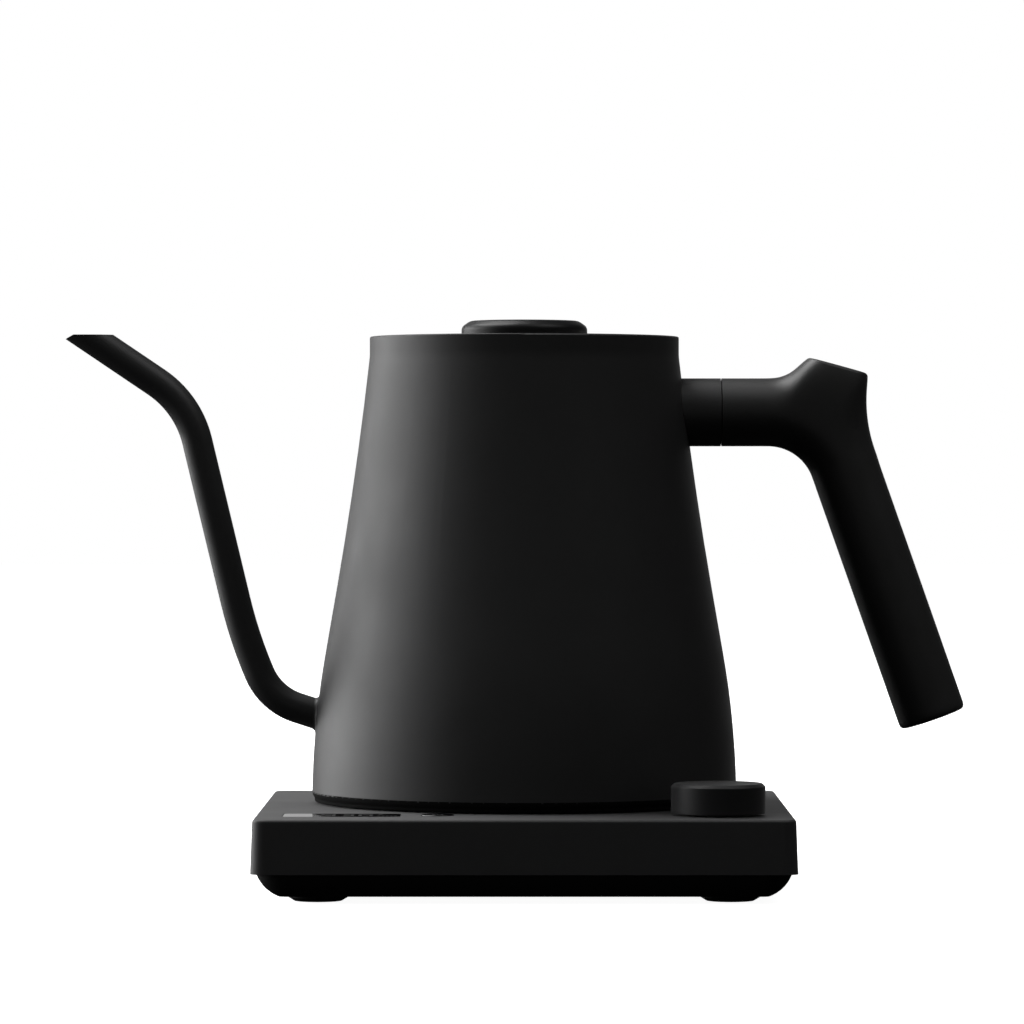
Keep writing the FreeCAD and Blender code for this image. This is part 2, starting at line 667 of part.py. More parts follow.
def make_heater():
    inner = d.floor_radius - d.sheet_wall
    floor_low = d.floor_top - d.sheet_wall
    turned("chamber_floor", [
        (0, floor_low), (inner, floor_low), (inner, d.floor_skirt), (d.floor_radius, d.floor_skirt),
        (d.floor_radius, d.floor_top), (0, d.floor_top),
    ], on_kettle)
    diffuser_low = floor_low - d.diffuser_depth
    plate = cylinder("diffuser_plate", d.diffuser_radius, diffuser_low, floor_low)
    hole = cylinder("sensor_hole", d.sensor_radius + 0.1, diffuser_low, floor_low, 0, d.sensor_ring)
    keep(cut("diffuser", plate, [hole]), "heat_diffuser", on_kettle)
    element_z = diffuser_low - d.element_radius - 0.1
    ring = doc.addObject("Part::Torus", "element_ring")
    ring.setExpression("Radius1", d.element_ring.text)
    ring.setExpression("Radius2", d.element_radius.text)
    ring.setExpression("Angle3", d.element_sweep.text)
    set_place(ring, 0, 0, element_z)
    pins = []
    for turn in (0.0, d.element_sweep.value):
        x = d.element_ring * math.cos(math.radians(turn))
        y = d.element_ring * math.sin(math.radians(turn))
        pins.append(cylinder("terminal", d.terminal_radius, element_z - d.terminal_drop, element_z, x, y))
    keep(joined("element", [ring] + pins), "heating_element", on_kettle)
    keep(cylinder("sensor", d.sensor_radius, d.recess_top, floor_low, 0, d.sensor_ring),
         "temperature_sensor", on_kettle)
    cutout_low = diffuser_low - d.cutout_depth
    disc = cylinder("cutout_disc", d.cutout_radius, cutout_low, diffuser_low, 0, -d.sensor_ring)
    tabs = block("cutout_tabs", 9, 1.0, cutout_low - 4, cutout_low, 0, -d.sensor_ring)
    keep(joined("cutout", [disc, tabs]), "thermal_cutout", on_kettle)


def make_kettle_underside():
    flange_low = d.skirt_z - d.skirt_bend + d.shell_wall + 0.1
    recess_outer = d.recess_radius + d.cover_wall
    turned("bottom_cover", [
        (d.recess_radius, d.cover_low), (d.cover_radius, d.cover_low), (d.cover_radius, flange_low),
        (d.cover_flange, flange_low), (d.cover_flange, flange_low + d.cover_wall),
        (recess_outer, flange_low + d.cover_wall), (recess_outer, d.recess_top),
        (d.recess_radius, d.recess_top),
    ], on_kettle)
    keep(cylinder("carrier", recess_outer, d.recess_top, d.recess_top + d.carrier_depth),
         "kettle_connector", on_kettle)
    keep(cylinder("pin", d.pin_radius, d.pin_low, d.recess_top), "kettle_contact_pin", on_kettle)
    blades = []
    for track in (d.inner_track, d.outer_track):
        wall = cylinder("blade_wall", track + d.blade_wall / 2, d.blade_low, d.recess_top)
        inside = cylinder("blade_inside", track - d.blade_wall / 2, d.blade_low, d.recess_top)
        blades.append(cut("blade", wall, [inside]))
    keep(grouped("blades", blades), "kettle_contact_blades", on_kettle)


# ---------------------------------------------------------------- lid

def make_lid():
    plate_low = d.lid_top - 1.0
    body = new_body("lid_disc")
    add_turned(body, [
        (2.1, plate_low), (d.lid_skirt - d.sheet_wall, plate_low),
        (d.lid_skirt - d.sheet_wall, d.lid_skirt_low), (d.lid_skirt, d.lid_skirt_low),
        (d.lid_skirt, plate_low), (d.lid_radius, plate_low), (d.lid_radius, d.lid_top), (2.1, d.lid_top),
    ])
    vents = []
    for side in (-12.0, 0.0, 12.0):
        turn = math.radians(180 + side)
        x, y = d.vent_ring * math.cos(turn), d.vent_ring * math.sin(turn)
        vents.append(cylinder("steam_vent", d.vent_radius, plate_low, d.lid_top, x, y))
    keep(cut("lid_disc_with_vents", body, vents), "lid_plate", on_kettle)
    inner = d.cup_radius - d.sheet_wall
    cup = new_body("cup")
    add_turned(cup, [
        (0, d.cup_low), (d.cup_radius, d.cup_low), (d.cup_radius, plate_low), (inner, plate_low),
        (inner, d.cup_low + d.sheet_wall), (0, d.cup_low + d.sheet_wall),
    ])
    drains = []
    for step in range(6):
        turn = math.radians(60 * step)
        x, y = d.vent_ring * math.cos(turn), d.vent_ring * math.sin(turn)
        drains.append(cylinder("drain", d.vent_radius * 1.4, d.cup_low, d.cup_low + d.sheet_wall, x, y))
    keep(cut("cup_with_drains", cup, drains), "lid_cup", on_kettle)
    seal_outer = d.lid_skirt - d.sheet_wall - 0.1
    ledge = d.ring_low + d.ring_wall
    turned("lid_seal", [
        (d.cup_radius + 0.05, ledge + 1.2), (seal_outer - 1.2, ledge + 0.3), (seal_outer, ledge + 0.9),
        (seal_outer, plate_low), (d.cup_radius + 0.05, plate_low),
    ], on_kettle)
    crown = d.knob_top - d.knob_wall
    turned("lid_knob", [
        (1.7, d.lid_top + 0.4), (d.knob_boss, d.lid_top + 0.4), (d.knob_boss, crown),
        (d.knob_radius - d.knob_wall, crown), (d.knob_radius - d.knob_wall, d.lid_top),
        (d.knob_radius, d.lid_top), (d.knob_radius, d.knob_top - d.knob_bevel_down),
        (d.knob_radius - d.knob_bevel_in, d.knob_top), (0, d.knob_top), (0, crown), (1.7, crown),
    ], on_kettle)
    head = cylinder("knob_screw_head", 3.5, plate_low - 2.4, plate_low)
    shank = cylinder("knob_screw_shank", 1.65, plate_low, crown - 0.4)
    keep(joined("knob_screw", [head, shank]), "lid_knob_screw", on_kettle)


# ---------------------------------------------------------------- base housing

def wall_growth(height):
    """How much wider the drafted housing is on both sides together, this far below its top."""
    return tangent(d.base_draft) * height * 2


def base_screw_places():
    return [(8.0, -62.0), (-70.0, -20.0), (70.0, -20.0), (-50.0, 62.0), (26.0, 64.0)]


def board_posts(x, y, length, depth):
    """Places of the four posts under or over a board's corners."""
    return box_corners(x, y, length - d.post_inset * 2, depth - d.post_inset * 2)


def foot_places():
    return {
        "foot_front_left": (-d.foot_x, -d.foot_y), "foot_front_right": (d.foot_x, -d.foot_y),
        "foot_rear_left": (-d.foot_x, d.foot_y), "foot_rear_right": (d.foot_x, d.foot_y),
    }


def make_base_top_cover():
    plate_low = d.base_top - d.base_wall
    body = new_body("top_housing")
    outline = new_sketch(body, "XY_Plane", d.base_top)
    draw_outline(outline, box_corners(0, 0, d.base_width, d.base_depth, d.base_corner))
    walls = add_pad(body, outline, d.base_top - d.base_seam, True)
    walls.setExpression("TaperAngle", d.base_draft.text)
    doc.recompute()
    solid = body.Tip
    rims = [
        f"Edge{index}" for index, edge in enumerate(solid.Shape.Edges, start=1)
        if all(abs(vertex.Z - d.base_top.value) < 1e-6 for vertex in edge.Vertexes)
    ]
    edge = body.newObject("PartDesign::Fillet", "top_edge")
    edge.Base = (solid, rims)
    edge.setExpression("Radius", d.base_edge.text)
    doc.recompute()
    growth = wall_growth(d.base_wall) - d.base_wall * 2
    cavity = new_sketch(body, "XY_Plane", plate_low)
    draw_outline(cavity, box_corners(0, 0, d.base_width + growth, d.base_depth + growth,
                                     d.base_corner - d.base_wall))
    hollow = add_pocket(body, cavity, plate_low - d.base_seam, False)
    hollow.setExpression("TaperAngle", d.base_draft.text)
    bosses = new_sketch(body, "XY_Plane", plate_low)
    for x, y in base_screw_places():
        draw_circle(bosses, x, y, d.boss_radius)
    add_pad(body, bosses, plate_low - d.tray_low - 2.05, True)
    boards = [
        (d.front_board_x, d.front_board_length, d.front_board_depth, d.board_z),
        (d.dial_x, d.dial_board_length, d.dial_board_depth, d.dial_board_z),
    ]
    for x, length, depth, low in boards:
        posts = new_sketch(body, "XY_Plane", plate_low)
        for post_x, post_y in board_posts(x, d.controls_y, length, depth):
            draw_circle(posts, post_x, post_y, d.post_radius)
        add_pad(body, posts, plate_low - low - d.board_thick, True)
    pilots = new_sketch(body, "XY_Plane", d.tray_low + 2.05)
    for x, y in base_screw_places():
        draw_circle(pilots, x, y, d.screw_radius + 0.05)
    add_pocket(body, pilots, 12.0)
    window = new_sketch(body, "XY_Plane", d.base_top)
    gap = d.recess_gap * 2
    draw_outline(window, box_corners(d.window_x, d.controls_y, d.window_length + gap, d.window_depth + gap,
                                     d.window_corner + d.recess_gap))
    add_pocket(body, window, d.window_thick, False)
    through = new_sketch(body, "XY_Plane", d.base_top)
    draw_outline(through, box_corners(d.window_x, d.controls_y, d.window_length - 2, d.window_depth - 2))
    draw_circle(through, d.button_x, d.controls_y, d.button_radius + d.button_gap)
    draw_circle(through, d.dial_x, d.controls_y, d.bushing_radius + 0.2)
    draw_circle(through, 0, d.axis_y - d.base_y, d.socket_radius + 0.2)
    add_pocket(body, through, d.base_wall + 0.5, False)
    gland = new_sketch(body, "XZ_Plane")
    draw_circle(gland, d.gland_x, d.gland_z, d.gland_neck)
    add_pocket(body, gland, d.base_depth, False)
    return keep(body, "base_top_cover", on_base)


def make_base_bottom_cover():
    seam_width = d.base_width + wall_growth(d.base_top - d.base_seam)
    seam_depth = d.base_depth + wall_growth(d.base_top - d.base_seam)
    inset = d.tray_inset * 2
    width, depth = seam_width - inset, seam_depth - inset
    body = new_body("tray")
    sections = []
    for share in (0.0, 0.25, 0.5, 0.75, 1.0):
        bulge = d.tray_bulge * (4 * share * (1 - share) * math.sqrt(0.5))
        taken_in = d.tray_slope * share - bulge
        section = new_sketch(body, "XY_Plane", d.base_seam - (d.base_seam - d.tray_low) * share - bulge)
        draw_outline(section, box_corners(0, 0, width - taken_in * 2, depth - taken_in * 2,
                                          d.tray_corner - taken_in))
        sections.append(section)
    loft = body.newObject("PartDesign::AdditiveLoft", "tray_form")
    loft.Profile = sections[0]
    loft.Sections = sections[1:]
    lip = new_sketch(body, "XY_Plane", d.base_seam)
    lip_cut = (d.base_wall + d.lip_gap) * 2
    draw_outline(lip, box_corners(0, 0, seam_width - lip_cut, seam_depth - lip_cut, d.base_corner))
    add_pad(body, lip, d.tray_lip)
    wall = d.tray_wall * 2
    cavity = new_sketch(body, "XY_Plane", d.tray_low + 2)
    draw_outline(cavity, box_corners(0, 0, width - wall, depth - wall, d.base_corner))
    add_pocket(body, cavity, d.base_seam)
    posts = new_sketch(body, "XY_Plane", d.tray_low + 2)
    for x, y in board_posts(d.power_x, d.power_y, d.power_length, d.power_depth):
        draw_circle(posts, x, y, d.post_radius)
    add_pad(body, posts, d.power_z - d.tray_low - 2)
    recesses = new_sketch(body, "XY_Plane", d.tray_low)
    for x, y in foot_places().values():
        draw_circle(recesses, x, y, d.foot_radius + d.recess_gap)
    add_pocket(body, recesses, d.foot_top - d.tray_low)
    heads = new_sketch(body, "XY_Plane", d.tray_low)
    shanks = new_sketch(body, "XY_Plane", d.tray_low)
    for x, y in base_screw_places():
        draw_circle(heads, x, y, d.screw_head + 0.1)
        draw_circle(shanks, x, y, d.screw_radius + 0.2)
    add_pocket(body, heads, 1.2)
    add_pocket(body, shanks, 3.0)
    return keep(body, "base_bottom_cover", on_base)


def make_feet():
    for name, (x, y) in foot_places().items():
        body = new_body(name)
        add_turned(body, [
            (0, 0), (d.foot_flat, 0), (d.foot_radius, d.foot_cone),
            (d.foot_radius, d.foot_top), (0, d.foot_top),
        ])
        keep(body, name)
        set_place(body, d.axis_x + x, d.base_y + y)


def make_base_screws():
    screws = []
    for x, y in base_screw_places():
        head = cylinder("screw_head", d.screw_head, d.tray_low, d.tray_low + 1.2, x, y)
        shank = cylinder("screw_shank", d.screw_radius, d.tray_low + 1.2, d.tray_low + 13, x, y)
        screws.append(joined("screw", [head, shank]))
    keep(grouped("screws", screws), "base_screws", on_base)


def make_socket():
    """The base's half of the connector: a raised round boss with two ring slots and a centre hub."""
    plate_low = d.base_top - d.base_wall
    bore = d.hub_radius + d.running_gap
    body = new_body("socket_housing")
    add_turned(body, [
        (bore, d.socket_low), (d.socket_radius, d.socket_low), (d.socket_radius, plate_low - 2.2),
        (d.socket_flange, plate_low - 2.2), (d.socket_flange, plate_low), (d.socket_radius, plate_low),
        (d.socket_radius, d.socket_top - 1), (d.socket_radius - 1, d.socket_top), (bore, d.socket_top),
    ])
    for track in (d.inner_track, d.outer_track):
        inner, outer = track - d.track_width / 2, track + d.track_width / 2
        slot = [(inner, d.slot_low), (outer, d.slot_low), (outer, d.socket_top), (inner, d.socket_top)]
        add_turned(body, slot, "PartDesign::Groove")
    keep(body, "base_connector", on_kettle)
    rings = []
    for track in (d.inner_track, d.outer_track):
        outer = cylinder("ring_outer", track + d.track_width / 2 - 0.05, d.slot_low, d.slot_low + 1.4)
        inner = cylinder("ring_inner", track - d.track_width / 2 + 0.05, d.slot_low, d.slot_low + 1.4)
        rings.append(cut("contact_ring", outer, [inner]))
    keep(grouped("contact_rings", rings), "base_contact_rings", on_kettle)
    flange = d.hub_radius + 2
    turned("contact_hub", [
        (0, d.hub_low), (flange, d.hub_low), (flange, d.socket_low - 0.3),
        (d.hub_radius, d.socket_low - 0.3),
        (d.hub_radius, d.hub_top), (d.pin_radius + d.running_gap, d.hub_top),
        (d.pin_radius + d.running_gap, d.pin_low - 2), (0, d.pin_low - 2),
    ], on_kettle)


# ---------------------------------------------------------------- controls and electrical pieces

def make_display():
    glass_low = d.base_top - d.window_thick
    glass = new_body("glass")
    outline = new_sketch(glass, "XY_Plane", glass_low)
    draw_outline(outline, box_corners(0, 0, d.window_length, d.window_depth, d.window_corner))
    add_pad(glass, outline, d.window_thick)
    keep(glass, "display_window")
    set_place(glass, d.axis_x + d.window_x, d.base_y + d.controls_y)
    module_low = d.board_z + d.board_thick
    keep(block("led_block", d.window_length - 2.5, d.window_depth - 2.5, module_low, glass_low - 0.1,
               d.window_x, d.controls_y), "display_module", on_base)
    board = block("front_board", d.front_board_length, d.front_board_depth, d.board_z, module_low,
                  d.front_board_x, d.controls_y)
    keep(board, "control_board", on_base)
    keep(cylinder("sounder", 4.5, module_low, module_low + 5, -34, d.controls_y + 11), "buzzer", on_base)
    switch = block("switch_body", 6.2, 6.2, module_low, module_low + 2.4, d.button_x, d.controls_y)
    nub = cylinder("switch_nub", 1.7, module_low + 2.4, module_low + 3.2, d.button_x, d.controls_y)
    keep(joined("switch", [switch, nub]), "tact_switch", on_base)


def make_button():
    plate_low = d.base_top - d.base_wall
    crown = d.base_top + d.button_proud
    flange = d.button_radius + d.button_flange
    cap = turned("button_cap", [
        (0, plate_low - 1.6), (flange, plate_low - 1.6), (flange, plate_low - 0.5),
        (d.button_radius, plate_low - 0.5), (d.button_radius, crown - 0.3),
        (d.button_radius - 0.3, crown), (0, crown - 0.2),
    ])
    set_place(cap, d.axis_x + d.button_x, d.base_y + d.controls_y)


def make_dial():
    """Rotary encoder on its own board, its sprung plunger, and the dial that turns on it."""
    x, y = d.dial_x, d.controls_y
    board_high = d.dial_board_z + d.board_thick
    board = block("dial_carrier", d.dial_board_length, d.dial_board_depth, d.dial_board_z, board_high, x, y)
    keep(board, "dial_board", on_base)
    can_top = d.base_top - d.base_wall - 3
    can = block("encoder_can", 13, 13, board_high, can_top, x, y)
    neck = cylinder("encoder_bushing", d.bushing_radius, can_top, d.base_top, x, y)
    bore = cylinder("encoder_bore", d.shaft_radius + d.running_gap, board_high + 0.8, d.base_top, x, y)
    keep(cut("encoder", joined("encoder_outside", [can, neck]), [bore]), "encoder_body", on_base)
    plunger = cylinder("plunger", d.shaft_radius - 0.2, board_high + 1.6, board_high + 3.1, x, y)
    keep(plunger, "encoder_plunger", on_base)
    shaft_top = d.dial_top - 3.2
    keep(cylinder("spindle", d.shaft_radius, board_high + 3.2, shaft_top, x, y), "dial_shaft", on_base)
    inner = d.dial_radius - d.dial_wall
    boss = d.bushing_radius + 1
    roof = d.dial_top - 2.5
    cap = turned("dial_knob", [
        (d.shaft_radius, d.dial_low), (boss, d.dial_low), (boss, roof), (inner, roof),
        (inner, d.dial_low), (d.dial_radius, d.dial_low),
        (d.dial_radius, d.dial_top - d.dial_bevel), (d.dial_radius - d.dial_bevel, d.dial_top),
        (0, d.dial_top), (0, shaft_top), (d.shaft_radius, shaft_top),
    ])
    set_place(cap, d.axis_x + x, d.base_y + y)


def make_power_pieces():
    high = d.power_z + d.board_thick
    board = block("mains_board", d.power_length, d.power_depth, d.power_z, high, d.power_x, d.power_y)
    keep(board, "power_board", on_base)
    keep(block("relay_case", 15.5, 19, high, high + 15, 40, 34), "relay", on_base)
    keep(block("transformer_case", 20, 17, high, high + 13, 62, 34), "transformer", on_base)
    keep(block("terminals", 10, 18, high, high + 11, 62, 6), "terminal_block", on_base)


def make_gland():
    """Rubber bush that lines the cord's way through the rear wall; its bore is open at both ends."""
    outer = (d.base_depth + wall_growth(d.base_top - d.gland_z)) / 2
    inner = outer - d.base_wall
    neck = d.gland_neck - 0.05
    inner_flange = d.gland_flange - 0.5
    gland = turned("cord_gland", [
        (d.gland_bore, inner - 1.5), (inner_flange, inner - 1.5), (inner_flange, inner - 0.3),
        (neck, inner - 0.3), (neck, outer + 0.4), (d.gland_flange, outer + 0.4),
        (d.gland_flange, outer + 2.2), (d.gland_bore + 1.4, outer + 5.2),
        (d.gland_bore, outer + 5.2),
    ])
    gland.Placement.Rotation = FreeCAD.Rotation(FreeCAD.Vector(1, 0, 0), -90)
    set_place(gland, d.axis_x + d.gland_x, d.base_y, d.gland_z)


# ---------------------------------------------------------------- build, check, write

def check_and_write():
    doc.recompute()
    broken = [item.Name for item in doc.Objects if "Invalid" in item.State or "Error" in item.State]
    if broken:
        raise SystemExit(f"failed objects: {broken}")
    for name, item in sub_parts.items():
        if item.Shape.isNull() or not item.Shape.isValid() or not item.Shape.Solids:
            raise SystemExit(f"bad shape: {name}")
    os.makedirs("parts", exist_ok=True)
    for name, item in sub_parts.items():
        item.Shape.exportStep(f"parts/{name}.step")
        print(f"{name}: {len(item.Shape.Solids)} solid(s), {item.Shape.Volume:.1f} mm3")


shell_form = make_envelope()
make_kettle_body()
make_spout()
make_neck_ring()
grip_end, grip_down = make_handle()
make_handle_fittings(shell_form, grip_end, grip_down)
make_heater()
make_kettle_underside()
make_lid()
make_base_top_cover()
make_base_bottom_cover()
make_feet()
make_base_screws()
make_socket()
make_display()
make_button()
make_dial()
make_power_pieces()
make_gland()
check_and_write()
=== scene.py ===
import bmesh
import bpy
import json
import math
from mathutils import Matrix, Vector
from mathutils.bvhtree import BVHTree


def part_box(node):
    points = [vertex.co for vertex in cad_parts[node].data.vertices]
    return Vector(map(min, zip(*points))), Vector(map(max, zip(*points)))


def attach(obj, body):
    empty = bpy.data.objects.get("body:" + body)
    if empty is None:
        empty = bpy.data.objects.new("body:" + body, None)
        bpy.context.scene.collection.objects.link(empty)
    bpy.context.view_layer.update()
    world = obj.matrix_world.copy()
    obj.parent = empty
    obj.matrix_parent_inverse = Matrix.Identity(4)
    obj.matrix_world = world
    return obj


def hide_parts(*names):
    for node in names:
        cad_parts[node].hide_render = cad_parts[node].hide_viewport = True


# Gooseneck kettle on its powered base: looks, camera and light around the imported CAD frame.
# Metres, +Z up, -Y is the user's side.

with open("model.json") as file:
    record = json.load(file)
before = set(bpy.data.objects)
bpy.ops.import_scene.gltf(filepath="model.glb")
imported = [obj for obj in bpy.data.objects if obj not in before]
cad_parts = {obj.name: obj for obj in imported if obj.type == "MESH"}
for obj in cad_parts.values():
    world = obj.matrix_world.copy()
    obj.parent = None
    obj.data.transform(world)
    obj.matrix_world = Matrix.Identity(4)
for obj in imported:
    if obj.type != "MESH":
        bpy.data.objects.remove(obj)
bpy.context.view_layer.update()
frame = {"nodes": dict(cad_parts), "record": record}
nodes = frame["nodes"]
MM = 0.001


def box_corners(node):
    """The lowest and highest corners of a CAD node's box."""
    low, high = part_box(node)
    return Vector(low), Vector(high)


def middle(node):
    """The middle of a CAD node's box."""
    low, high = box_corners(node)
    return (low + high) / 2


def half_width(low, high):
    """Half the reach along X between two corners: the radius of a turned node."""
    return (high.x - low.x) / 2


kettle_axis = middle("neck_ring")
dial_axis = middle("dial_knob")
button_axis = middle("button_cap")


# ---------------------------------------------------------------- materials

def set_range(ramp, from_low, from_high, to_low, to_high):
    """Sets the limits of a Map Range node."""
    limits = {"From Min": from_low, "From Max": from_high, "To Min": to_low, "To Max": to_high}
    for name, value in limits.items():
        ramp.inputs[name].default_value = value


# a face is inside the shell where its normal times its place from the axis, in metres, is below this;
# the rolled foot's faces lie nearer zero and stay coated
INSIDE = -20 * MM


class Look:
    """A node material about one Principled shader."""

    def __init__(self, name, colour, roughness, metallic=0.0, specular=0.5):
        self.material = bpy.data.materials.new(name)
        self.material.use_nodes = True
        self.tree = self.material.node_tree
        self.shader = self.tree.nodes["Principled BSDF"]
        self.shader.inputs["Base Color"].default_value = (*colour, 1)
        self.shader.inputs["Roughness"].default_value = roughness
        self.shader.inputs["Metallic"].default_value = metallic
        self.shader.inputs["Specular IOR Level"].default_value = specular
        self.colour = colour
        self.roughness = roughness
        self.coordinates = self.add("ShaderNodeTexCoord")
        self.place = self.coordinates.outputs["Object"]

    def add(self, kind, **settings):
        node = self.tree.nodes.new(kind)
        for key, value in settings.items():
            setattr(node, key, value)
        return node

    def link(self, start, end):
        self.tree.links.new(start, end)

    def noise(self, grain, detail=3.0, stretch=(1, 1, 1)):
        """Noise whose features are about grain metres across."""
        mapping = self.add("ShaderNodeMapping")
        mapping.inputs["Scale"].default_value = tuple(side / grain for side in stretch)
        self.link(self.place, mapping.inputs["Vector"])
        noise = self.add("ShaderNodeTexNoise")
        noise.inputs["Scale"].default_value = 1
        noise.inputs["Detail"].default_value = detail
        self.link(mapping.outputs["Vector"], noise.inputs["Vector"])
        return noise.outputs["Fac"]

    def tint(self, factor, low, high):
        """Varies the base colour between low and high times itself."""
        mix = self.add("ShaderNodeMix", data_type="RGBA")
        mix.inputs["A"].default_value = (*(channel * low for channel in self.colour), 1)
        mix.inputs["B"].default_value = (*(channel * high for channel in self.colour), 1)
        self.link(factor, mix.inputs["Factor"])
        self.link(mix.outputs["Result"], self.shader.inputs["Base Color"])

    def vary_roughness(self, factor, amount):
        """Varies the roughness by amount each way, over the part of its range that noise mostly fills."""
        ramp = self.add("ShaderNodeMapRange")
        low, high = self.roughness - amount, self.roughness + amount
        set_range(ramp, 0.3, 0.7, low, high)
        self.link(factor, ramp.inputs["Value"])
        self.link(ramp.outputs["Result"], self.shader.inputs["Roughness"])

    def bump(self, height, depth):
        """Adds relief of depth metres to whatever relief is there."""
        bump = self.add("ShaderNodeBump")
        bump.inputs["Distance"].default_value = depth
        bump.inputs["Strength"].default_value = 1.0
        self.link(height, bump.inputs["Height"])
        if self.shader.inputs["Normal"].is_linked:
            self.link(self.shader.inputs["Normal"].links[0].from_socket, bump.inputs["Normal"])
        self.link(bump.outputs["Normal"], self.shader.inputs["Normal"])

    def line_with_steel(self, axis, colour, roughness):
        """Bare steel on the faces that look towards an upright axis."""
        outwards = self.add("ShaderNodeVectorMath", operation="SUBTRACT")
        self.link(self.place, outwards.inputs[0])
        outwards.inputs[1].default_value = (axis.x, axis.y, 0)
        level = self.add("ShaderNodeVectorMath", operation="MULTIPLY")
        self.link(outwards.outputs["Vector"], level.inputs[0])
        level.inputs[1].default_value = (1, 1, 0)
        facing = self.add("ShaderNodeVectorMath", operation="DOT_PRODUCT")
        self.link(level.outputs["Vector"], facing.inputs[0])
        self.link(self.coordinates.outputs["Normal"], facing.inputs[1])
        inside = self.add("ShaderNodeMath", operation="LESS_THAN")
        self.link(facing.outputs["Value"], inside.inputs[0])
        inside.inputs[1].default_value = INSIDE
        coat = self.shader.inputs["Base Color"].links[0].from_socket
        colours = self.add("ShaderNodeMix", data_type="RGBA")
        self.link(inside.outputs["Value"], colours.inputs["Factor"])
        self.link(coat, colours.inputs["A"])
        colours.inputs["B"].default_value = (*colour, 1)
        self.link(colours.outputs["Result"], self.shader.inputs["Base Color"])
        coat = self.shader.inputs["Roughness"].links[0].from_socket
        gloss = self.add("ShaderNodeMix", data_type="FLOAT")
        self.link(inside.outputs["Value"], gloss.inputs["Factor"])
        self.link(coat, gloss.inputs["A"])
        gloss.inputs["B"].default_value = roughness
        self.link(gloss.outputs["Result"], self.shader.inputs["Roughness"])
        self.link(inside.outputs["Value"], self.shader.inputs["Metallic"])


def powder_coat(name, colour, roughness, specular=0.5):
    """Fine matte powder coat: close grain, faint handling marks."""
    look = Look(name, colour, roughness, specular=specular)
    look.bump(look.noise(0.45 * MM, 2), 0.018 * MM)
    look.bump(look.noise(2.2 * MM, 2), 0.012 * MM)
    look.tint(look.noise(14 * MM, 4), 0.86, 1.14)
    look.vary_roughness(look.noise(26 * MM, 5), 0.035)
    return look


def moulded(name, colour, roughness, grain=0.35 * MM, specular=0.5):
    """Moulded plastic or rubber with a spark-eroded grain."""
    look = Look(name, colour, roughness, specular=specular)
    look.bump(look.noise(grain, 2), 0.012 * MM)
    look.tint(look.noise(9 * MM, 3), 0.85, 1.15)
    look.vary_roughness(look.noise(18 * MM, 4), 0.04)
    return look


def brushed(name, colour, roughness, stretch=(1, 1, 14)):
    """Bare metal, with its grain drawn out along the larger sides of stretch."""
    look = Look(name, colour, roughness, metallic=1.0)
    grain = look.noise(0.5 * MM, 4, tuple(1 / side for side in stretch))
    look.bump(grain, 0.006 * MM)
    look.tint(look.noise(12 * MM, 4), 0.9, 1.06)
    look.vary_roughness(grain, 0.07)
    return look


def board(name):
    """Solder mask over a circuit board."""
    look = Look(name, (0.012, 0.10, 0.04), 0.42)
    look.tint(look.noise(1.6 * MM, 2), 0.6, 1.5)
    look.bump(look.noise(1.1 * MM, 1), 0.02 * MM)
    return look


SHELL_COAT = ((0.018, 0.018, 0.0185), 0.5, 0.4)
BARE_STEEL = (0.58, 0.57, 0.55)
LOOKS = {
    "shell_black": powder_coat("shell_powder_coat", *SHELL_COAT),
    "base_black": powder_coat("base_powder_coat", (0.020, 0.020, 0.021), 0.6, 0.5),
    "grip_black": moulded("grip_plastic", (0.018, 0.018, 0.018), 0.5, specular=0.46),
    "dial_black": powder_coat("dial_anodised", (0.010, 0.010, 0.011), 0.5, 0.32),
    "housing_plastic": moulded("housing_plastic", (0.012, 0.012, 0.012), 0.6, 0.5 * MM, 0.25),
    "window_black": Look("window_gloss", (0.003, 0.003, 0.0035), 0.05),
    "rubber_black": moulded("foot_rubber", (0.008, 0.008, 0.008), 0.75, 0.6 * MM, 0.3),
    "seal_grey": moulded("seal_silicone", (0.22, 0.22, 0.22), 0.55, 0.5 * MM),
    "steel": brushed("inner_steel", BARE_STEEL, 0.3),
    "aluminium": brushed("cast_aluminium", (0.72, 0.72, 0.73), 0.45, (1, 1, 1)),
    "contact_brass": brushed("contact_brass", (0.80, 0.58, 0.26), 0.28, (1, 1, 1)),
    "board_green": board("board_green"),
    "component_black": moulded("component_plastic", (0.02, 0.02, 0.022), 0.45),
}
window_look = LOOKS["window_black"]
window_look.vary_roughness(window_look.noise(7 * MM, 3), 0.015)
window_look.shader.inputs["Coat Weight"].default_value = 1.0
window_look.shader.inputs["Coat Roughness"].default_value = 0.03
SHEEN = {"base_black": 0.10, "dial_black": 0.13}
for slot_name, weight in SHEEN.items():
    LOOKS[slot_name].shader.inputs["Sheen Weight"].default_value = weight
    LOOKS[slot_name].shader.inputs["Sheen Roughness"].default_value = 0.4


def paint(item, look):
    """Gives an object one material."""
    item.data.materials.clear()
    item.data.materials.append(look.material)


for entry in frame["record"]["subparts"]:
    paint(nodes[entry["node"]], LOOKS[entry["material_slot"]])
shell_look = powder_coat("shell_coat_steel_inside", *SHELL_COAT)
shell_look.line_with_steel(kettle_axis, BARE_STEEL, 0.32)
paint(nodes["kettle_body"], shell_look)


# ---------------------------------------------------------------- mesh steps

HARD_EDGE = math.radians(35)


def add_piece(name, mesh, body, slot, look, *stood_for):
    """Links a finished mesh that rides on a body and stands for CAD nodes, if any are named."""
    item = bpy.data.objects.new(name, mesh)
    bpy.context.scene.collection.objects.link(item)
    item.data.materials.append(look.material)
    item.modifiers.new("even_normals", "WEIGHTED_NORMAL").keep_sharp = True
    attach(item, body)
    if stood_for:
        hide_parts(*stood_for)


